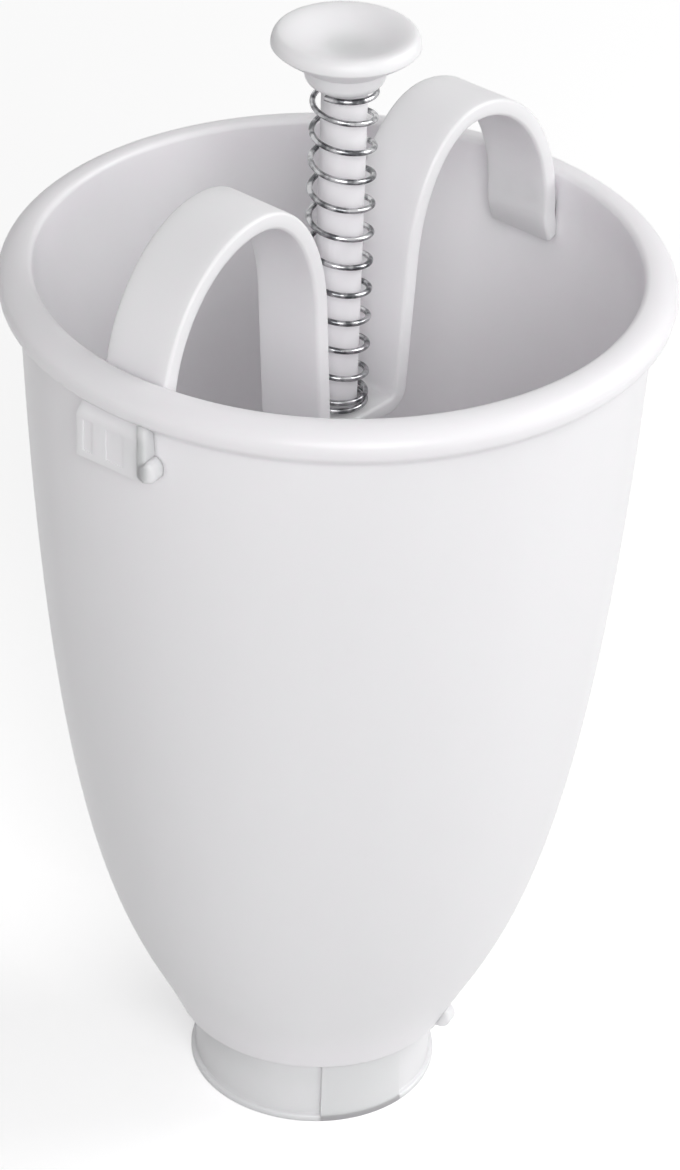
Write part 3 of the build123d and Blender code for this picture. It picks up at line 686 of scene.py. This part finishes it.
class DROPPER_OT_bridge(bpy.types.Operator):
    """Build the bridge: one band bent into two finger arches, with the plunger's guide between them"""

    bl_idname = "dropper.bridge"
    bl_label = "Finger bridge"

    def execute(self, context):
        s = context.scene.dropper_bridge
        bm = bmesh.new()
        half_band = s.thickness / 2
        line = s.top_height - half_band
        hub = s.hub_height - half_band
        arch_foot = line - 22.4 * MM
        leg_slope = math.tan(s.leg_lean)
        leg_low = s.leg_radius - leg_slope * (arch_foot - hub)

        # Middle line of one half: hub, leg, inner and outer quarter of the arch, foot
        hole_square = 6 * MM
        path = [(hole_square * i / 4, hub) for i in range(5)] + [(leg_low, hub)]
        leg_top = Vector((s.leg_radius, arch_foot))
        guide = leg_top + Vector((leg_slope, 1)) * 12.4 * MM
        top = Vector((s.top_radius, line))
        path += [tuple(p) for p in geometry.interpolate_bezier(leg_top, guide, top - Vector((8.8 * MM, 0)), top, 24)]
        shoulder = Vector((s.foot_radius, line - 27.4 * MM))
        path += ease((s.top_radius, line), (s.foot_radius, line), shoulder, 28)[1:]
        # The end of the leg leans out into its seat in the hopper's wall
        end = Vector((s.foot_end_radius, s.foot_height))
        path += [
            tuple(p)
            for p in geometry.interpolate_bezier(
                shoulder, shoulder - Vector((0, 2 * MM)), end + Vector((-0.6 * MM, 1.5 * MM)), end, 9
            )
        ][1:]

        # The band: the line drawn across its width, with the middle kept square for the hole
        across = s.width / 2
        chain = [bm.verts.new((x, -across, z)) for x, z in path]
        row = [bm.edges.new(pair) for pair in zip(chain, chain[1:])]
        square = 5 * MM
        stops = [-across] + [-square + square * i / 4 for i in range(9)] + [across]
        for low, high in zip(stops, stops[1:]):
            grown = bmesh.ops.extrude_edge_only(bm, edges=row)["geom"]
            row = [e for e in grown if isinstance(e, bmesh.types.BMEdge)]
            bmesh.ops.translate(bm, verts=[v for v in grown if isinstance(v, bmesh.types.BMVert)], vec=(0, high - low, 0))
        corner = [
            e for e in bm.edges if all(abs(v.co.x - leg_low) + abs(v.co.z - hub) < 0.01 * MM for v in e.verts)
        ]
        soften(bm, corner, 2.4 * MM, 6)
        bmesh.ops.mirror(bm, geom=all_geometry(bm), axis="X", merge_dist=0.001 * MM)
        bmesh.ops.remove_doubles(bm, verts=bm.verts[:], dist=0.001 * MM)

        # Hole for the rod
        inner = []
        for face in bm.faces:
            middle = face.calc_center_median()
            if abs(middle.x) < hole_square and abs(middle.y) < square and abs(middle.z - hub) < 0.01 * MM:
                inner.append(face)
        bmesh.ops.delete(bm, geom=inner, context="FACES")
        edge_of_hole = [
            e
            for e in bm.edges
            if e.is_boundary and all(abs(v.co.x) < 6.01 * MM and abs(v.co.y) < 5.01 * MM and v.co.z < 141 * MM for v in e.verts)
        ]
        hole = bmesh.ops.create_circle(
            bm, cap_ends=False, radius=4.0 * MM, segments=32, matrix=Matrix.Translation((0, 0, hub))
        )["verts"]
        hole_edges = list({e for v in hole for e in v.link_edges})
        bmesh.ops.bridge_loops(bm, edges=edge_of_hole + hole_edges)
        bmesh.ops.recalc_face_normals(bm, faces=bm.faces[:])
        bm.normal_update()
        # The band gets its thickness on one side only, so the sheet first moves out by half of it
        crown = max(bm.faces, key=lambda f: f.calc_center_median().z)
        outward = half_band if crown.normal.z > 0 else -half_band
        for vert, step in [(v, v.normal * outward * v.calc_shell_factor()) for v in bm.verts]:
            vert.co += step
        bmesh.ops.solidify(bm, geom=bm.faces[:], thickness=s.thickness)
        long_edges = crease(bm, 1.0, lambda p: abs(abs(p.y) - across) < 0.01 * MM)
        soften(bm, long_edges, s.edge_round, 5)
        foot_edges = crease(bm, 1.0, lambda p: abs(p.z - s.foot_height) < 0.9 * MM and abs(p.x) > s.foot_radius - half_band)
        soften(bm, foot_edges, 0.2 * MM, 2)

        # Guide boss under the hub
        part = bmesh.new()
        boss_low = s.hub_height - 16.5 * MM
        turn(
            part,
            [(4.0 * MM, hub), (6.4 * MM, hub), (6.4 * MM, boss_low), (4.0 * MM, boss_low)],
            64,
        )
        soften(part, ring(part, 6.4 * MM, boss_low), 0.6 * MM, 4)
        join(bm, part)
        make_piece(bm, "finger_bridge", "hopper", "polypropylene_handle", ["bridge_handle"])
        return {"FINISHED"}


class DROPPER_OT_plunger(bpy.types.Operator):
    """Build the plunger's rod and its dished thumb knob"""

    bl_idname = "dropper.plunger"
    bl_label = "Rod and thumb knob"

    def execute(self, context):
        s = context.scene.dropper_plunger
        # Rod
        bm = bmesh.new()
        r = s.rod_radius
        outline = [(0, ROD_LOW.z), (r, ROD_LOW.z), (r, ROD_HIGH.z), (0, ROD_HIGH.z)]
        turn(bm, outline, 64)
        soften(bm, ring(bm, r, ROD_HIGH.z) + ring(bm, r, ROD_LOW.z), 0.4 * MM, 3)
        make_piece(bm, "rod", "plunger", "acetal_rod", ["plunger_rod"])

        # Knob: collar, waist, bowl, thick lip and dish
        bm = bmesh.new()
        seat = KNOB_LOW.z
        widest = KNOB_HIGH.z - 3.5 * MM
        crest = widest + 2.2 * MM
        lip = s.knob_radius - 1.4 * MM
        waist = (7.2 * MM, seat + 3.4 * MM)
        bowl = [
            tuple(p)
            for p in geometry.interpolate_bezier(
                Vector((7.6 * MM, seat + 3.65 * MM)),
                Vector((8.4 * MM, seat + 4.3 * MM)),
                Vector((s.knob_radius - 0.7 * MM, widest - 0.9 * MM)),
                Vector((s.knob_radius, widest)),
                14,
            )
        ]
        edge = ease((s.knob_radius, widest), (s.knob_radius, crest), (lip, crest), 12)
        low = crest - s.knob_dish
        dish = [
            tuple(p)
            for p in geometry.interpolate_bezier(
                Vector((lip, crest)),
                Vector((lip - 2.6 * MM, crest)),
                Vector((5.6 * MM, low)),
                Vector((0, low)),
                20,
            )
        ]
        bore = r + 0.05 * MM
        blind = ROD_HIGH.z + 0.3 * MM
        outline = [(0, blind), (bore, blind), (bore, seat), (5.7 * MM, seat), (6.6 * MM, seat + 0.9 * MM), waist]
        outline += bowl + edge[1:] + dish[1:]
        turn(bm, outline, 96)
        soften(bm, ring(bm, 5.7 * MM, seat), 0.5 * MM, 4)
        soften(bm, ring(bm, 6.6 * MM, seat + 0.9 * MM), 0.6 * MM, 4)
        soften(bm, ring(bm, *bowl[0]), 0.2 * MM, 3)
        make_piece(bm, "thumb_knob_dished", "plunger", "polypropylene_handle", ["thumb_knob"])
        return {"FINISHED"}


class DROPPER_OT_spring(bpy.types.Operator):
    """Wind the return spring, closed at its lower end and left-handed"""

    bl_idname = "dropper.spring"
    bl_label = "Return spring"

    def execute(self, context):
        s = context.scene.dropper_spring
        bm = bmesh.new()
        per_turn = 48
        low = SPRING_LOW.z + s.wire_radius
        rise = SPRING_HIGH.z - s.wire_radius - low
        closed_below, closed_above, ramp = 1.25, 0.25, 0.5
        open_turns = s.turns - closed_below - closed_above - ramp
        extra = (rise - s.close_pitch * s.turns) / open_turns
        place = (
            Matrix.Rotation(math.radians(3), 4, "Z")
            @ Matrix.Translation((s.coil_radius, 0, low))
            @ Matrix.Rotation(math.pi / 2, 4, "X")
        )
        wire = bmesh.ops.create_circle(bm, cap_ends=False, radius=s.wire_radius, segments=16, matrix=place)["verts"]
        geom = wire + list({e for v in wire for e in v.link_edges})
        # Stretches of wire: how many turns each has, and how much of the open pitch
        ramp_up = [(ramp / 4, (i + 0.5) / 4) for i in range(4)]
        straight = s.turns - closed_below - closed_above - 2 * ramp
        stretches = [(closed_below, 0)] + ramp_up + [(straight, 1)] + ramp_up[::-1] + [(closed_above, 0)]
        for turns, share in stretches:
            steps = max(round(turns * per_turn), 1)
            climb = (s.close_pitch + extra * share) * turns / steps
            made = bmesh.ops.spin(
                bm,
                geom=geom,
                cent=(0, 0, 0),
                axis=(0, 0, 1),
                dvec=(0, 0, climb),
                angle=-2 * math.pi * turns,
                steps=steps,
                use_merge=False,
                use_duplicate=False,
            )
            geom = [g for g in made["geom_last"] if not isinstance(g, bmesh.types.BMFace)]
        bmesh.ops.holes_fill(bm, edges=bm.edges[:], sides=0)
        soften(bm, crease(bm, 1.0, lambda p: True), 0.12 * MM, 2)
        spring = make_piece(bm, "coil_spring", "hopper", "spring_steel_wire", ["return_spring"])
        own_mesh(spring)
        return {"FINISHED"}


class DROPPER_OT_collar(bpy.types.Operator):
    """Build the outlet collar with its two grip pads"""

    bl_idname = "dropper.collar"
    bl_label = "Outlet collar"

    def execute(self, context):
        s = context.scene.dropper_collar
        bm = bmesh.new()
        bore = 18.8 * MM
        mouth = s.radius - 1.5 * MM
        step = 6.8 * MM
        lip_high = 1.3 * MM
        groove = (7.7 * MM, 10.7 * MM)
        track = 20.6 * MM
        outline = [
            (mouth, 0),
            (s.lip_radius, 0),
            (s.lip_radius, lip_high),
            (s.radius, lip_high),
            (s.radius, s.height),
            (bore, s.height),
            (bore, groove[1]),
            (track, groove[1]),
            (track, groove[0]),
            (bore, groove[0]),
            (bore, step),
            (mouth, step - (mouth - bore)),
        ]
        turn(bm, outline, 72, sweep=math.pi, start=-math.pi / 2)
        soften(bm, ring(bm, s.radius, s.height), 0.8 * MM, 5)
        soften(bm, ring(bm, s.lip_radius, lip_high), 0.4 * MM, 3)
        soften(bm, ring(bm, s.lip_radius, 0) + ring(bm, mouth, 0), 0.25 * MM, 2)
        soften(bm, ring(bm, s.radius, lip_high), 0.3 * MM, 3)

        # Grip pad
        part = bmesh.new()
        proud = s.radius + s.pad_rise
        top = s.height - 0.8 * MM
        section = [(s.radius - 0.7 * MM, 0), (proud, 0), (proud, top), (s.radius - 0.7 * MM, top)]
        turn(part, section, 24, sweep=s.pad_span, start=s.pad_angle - s.pad_span / 2)
        bmesh.ops.holes_fill(part, edges=part.edges[:], sides=0)
        bmesh.ops.recalc_face_normals(part, faces=part.faces[:])
        soften(part, crease(part, 1.0, lambda p: p.xy.length > s.radius), 0.2 * MM, 3)
        join(bm, part)
        second_side(bm)
        make_piece(bm, "twist_collar", "collar", "polypropylene_hopper", ["outlet_collar"])
        return {"FINISHED"}


class DROPPER_OT_dosing(bpy.types.Operator):
    """Build the parts that meter the batter: piston, pin, cutter disc and screw"""

    bl_idname = "dropper.dosing"
    bl_label = "Piston, disc and fasteners"

    def execute(self, context):
        s = context.scene.dropper_plunger
        bore = s.rod_radius + 0.05 * MM
        hub = s.rod_radius + 2.6 * MM
        wall = 1.8 * MM

        # Piston: a thin cone with a land that fits the throat
        bm = bmesh.new()
        low, high = PISTON_LOW.z, PISTON_HIGH.z
        land, cone = low + 4 * MM, low + 6.2 * MM
        outline = [
            (bore, low),
            (bore, high),
            (hub, high),
            (hub, cone),
            (s.piston_radius, land),
            (s.piston_radius, low),
            (s.piston_radius - wall, low),
            (s.piston_radius - wall, land - wall),
            (hub, cone - wall),
            (hub, low),
        ]
        turn(bm, outline, 96)
        soften(bm, ring(bm, hub, high), 0.4 * MM, 3)
        soften(bm, ring(bm, hub, cone), 0.8 * MM, 3)
        soften(bm, ring(bm, s.piston_radius, land), 0.5 * MM, 3)
        soften(bm, ring(bm, s.piston_radius, low), 0.25 * MM, 2)
        make_piece(bm, "piston", "plunger", "acetal_rod", ["metering_piston"])

        # Pin through the piston's hub
        bm = bmesh.new()
        radius, reach = PIN_HIGH.x, PIN_HIGH.y
        turn(bm, [(0, -reach), (radius, -reach), (radius, reach), (0, reach)], 32)
        soften(bm, ring(bm, radius, reach) + ring(bm, radius, -reach), 0.2 * MM, 3)
        height = (PIN_LOW.z + PIN_HIGH.z) / 2
        place = Matrix.Translation((0, 0, height)) @ Matrix.Rotation(math.pi / 2, 4, "X")
        bmesh.ops.transform(bm, matrix=place, verts=bm.verts[:])
        make_piece(bm, "cross_pin", "plunger", "turned_steel", ["piston_pin"])

        # Cutter disc, countersunk below
        bm = bmesh.new()
        low = DISC_LOW.z
        top = low + 2.85 * MM
        hub, high = s.rod_radius + 2.1 * MM, DISC_HIGH.z
        head, sunk, hole = 2.95 * MM, 1.4 * MM, 1.55 * MM
        outline = [
            (bore, low + 2 * MM),
            (bore, high),
            (hub, high),
            (hub, top),
            (s.disc_radius, top),
            (s.disc_radius, low),
            (head, low),
            (hole, low + sunk),
            (hole, low + 2 * MM),
        ]
        turn(bm, outline, 128)
        soften(bm, ring(bm, s.disc_radius, low), 0.5 * MM, 4)
        soften(bm, ring(bm, s.disc_radius, top), 0.3 * MM, 3)
        soften(bm, ring(bm, hub, top), 1.0 * MM, 4)
        soften(bm, ring(bm, hub, high), 0.3 * MM, 2)
        make_piece(bm, "shaping_disc", "plunger", "acetal_rod", ["cutter_disc"])

        # Countersunk screw with a straight slot in its head
        bm = bmesh.new()
        radius, head = 1.5 * MM, SCREW_HIGH.x
        low, high = SCREW_LOW.z, SCREW_HIGH.z
        turn(bm, [(0, low), (head, low), (radius, low + sunk), (radius, high), (0, high)], 48)
        soften(bm, ring(bm, head, low), 0.12 * MM, 2)
        half_slot, slot_end = 0.4 * MM, 2.2 * MM
        cap = [f for f in bm.faces if f.calc_center_median().z < low + 0.01 * MM]
        cuts = [((x, 0, 0), (1, 0, 0)) for x in (-half_slot, half_slot)]
        cuts += [((0, y, 0), (0, 1, 0)) for y in (-slot_end, slot_end)]
        slot = []
        for face in slice_faces(bm, cap, cuts):
            middle = face.calc_center_median()
            if abs(middle.x) < half_slot and abs(middle.y) < slot_end:
                slot.append(face)
        grown = bmesh.ops.extrude_face_region(bm, geom=slot)["geom"]
        bmesh.ops.delete(bm, geom=slot, context="FACES")
        bmesh.ops.translate(bm, verts=[v for v in grown if isinstance(v, bmesh.types.BMVert)], vec=(0, 0, 0.7 * MM))
        make_piece(bm, "disc_fixing_screw", "plunger", "turned_steel", ["disc_screw"])
        return {"FINISHED"}


class DROPPER_OT_studio(bpy.types.Operator):
    """Set the floor, the lamps, the room light and the camera"""

    bl_idname = "dropper.studio"
    bl_label = "Studio"

    def execute(self, context):
        s = context.scene.dropper_studio
        scene = context.scene

        # Floor
        bm = bmesh.new()
        bmesh.ops.create_grid(bm, x_segments=8, y_segments=8, size=3.0)
        mesh = bpy.data.meshes.new("floor")
        bm.to_mesh(mesh)
        bm.free()
        floor = bpy.data.objects.new("floor", mesh)
        scene.collection.objects.link(floor)
        tones = scene.dropper_finishes
        mesh.materials.append(studio_floor("studio_paper", tones.floor, tones.bounce, s.lift))

        # Lamps: two large soft boxes, one above the camera and one on its right
        aim = Vector((0, 0, 100 * MM))
        lamps = [
            ("key_lamp", s.key_power, s.camera_side + math.radians(8)),
            ("side_lamp", s.side_power, s.camera_side + math.radians(100)),
        ]
        raised, reach = math.radians(30), 1.4
        for name, power, side in lamps:
            lamp = bpy.data.lights.new(name, "AREA")
            lamp.shape = "DISK"
            lamp.energy = power
            lamp.size = 0.9
            holder = bpy.data.objects.new(name, lamp)
            scene.collection.objects.link(holder)
            level = Vector((math.cos(side), math.sin(side), 0)) * math.cos(raised)
            holder.location = aim + (level + Vector((0, 0, math.sin(raised)))) * reach
            holder.rotation_euler = (aim - holder.location).to_track_quat("-Z", "Y").to_euler()

        # Room light, seen by the camera as plain white
        world = bpy.data.worlds.new("studio_room")
        scene.world = world
        world.use_nodes = True
        tree = world.node_tree
        tree.nodes.clear()
        seen = put(tree, "LightPath", {})
        looked_at = put(
            tree, "Math", {0: seen.outputs["Is Camera Ray"], 1: seen.outputs["Is Glossy Ray"]}, operation="MAXIMUM"
        )
        strength = put(
            tree, "MapRange", {"Value": looked_at.outputs[0], "To Min": s.sky, "To Max": 1.0}
        ).outputs["Result"]
        light = put(tree, "Background", {"Color": (1, 1, 1, 1), "Strength": strength})
        put(tree, "OutputWorld", {"Surface": light.outputs["Background"]})

        # Camera
        lens = bpy.data.cameras.new("camera")
        lens.lens = s.camera_lens
        lens.sensor_width = 36
        lens.clip_end = 20
        camera = bpy.data.objects.new("camera", lens)
        scene.collection.objects.link(camera)
        stand = Vector((math.cos(s.camera_side), math.sin(s.camera_side), 0)) * s.camera_reach
        stand.z = s.camera_height
        facing = s.camera_side + math.pi / 2 - s.camera_yaw
        camera.matrix_world = (
            Matrix.Translation(stand)
            @ Matrix.Rotation(facing, 4, "Z")
            @ Matrix.Rotation(math.pi / 2 - s.camera_pitch, 4, "X")
            @ Matrix.Rotation(s.camera_roll, 4, "Z")
        )
        scene.camera = camera
        scene.view_settings.view_transform = "Standard"
        return {"FINISHED"}


class DROPPER_PT_panel(bpy.types.Panel):
    """Lists the pieces and the sizes they are built from"""

    bl_idname = "DROPPER_PT_panel"
    bl_label = "Batter dropper"
    bl_space_type = "VIEW_3D"
    bl_region_type = "UI"
    bl_category = "Dropper"

    def draw(self, context):
        scene = context.scene
        for operator, group in PIECES:
            box = self.layout.box()
            box.operator(operator.bl_idname)
            if group:
                sizes = getattr(scene, group)
                for name in sizes.__annotations__:
                    box.prop(sizes, name)


GROUPS = [
    ("dropper_hopper", HopperSizes),
    ("dropper_bridge", BridgeSizes),
    ("dropper_plunger", PlungerSizes),
    ("dropper_spring", SpringSizes),
    ("dropper_collar", CollarSizes),
    ("dropper_finishes", Finishes),
    ("dropper_studio", StudioSettings),
]

PIECES = [
    (DROPPER_OT_hopper, "dropper_hopper"),
    (DROPPER_OT_bridge, "dropper_bridge"),
    (DROPPER_OT_plunger, "dropper_plunger"),
    (DROPPER_OT_spring, "dropper_spring"),
    (DROPPER_OT_collar, "dropper_collar"),
    (DROPPER_OT_dosing, ""),
    (DROPPER_OT_studio, "dropper_studio"),
]


def register():
    for name, group in GROUPS:
        bpy.utils.register_class(group)
        setattr(bpy.types.Scene, name, PointerProperty(type=group))
    for operator, _ in PIECES:
        bpy.utils.register_class(operator)
    bpy.utils.register_class(DROPPER_PT_panel)


def unregister():
    bpy.utils.unregister_class(DROPPER_PT_panel)
    for operator, _ in reversed(PIECES):
        bpy.utils.unregister_class(operator)
    for name, group in reversed(GROUPS):
        delattr(bpy.types.Scene, name)
        bpy.utils.unregister_class(group)


def main():
    register()
    bpy.ops.dropper.hopper()
    bpy.ops.dropper.bridge()
    bpy.ops.dropper.plunger()
    bpy.ops.dropper.spring()
    bpy.ops.dropper.collar()
    bpy.ops.dropper.dosing()
    bpy.ops.dropper.studio()
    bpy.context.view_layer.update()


if __name__ == "__main__":
    main()
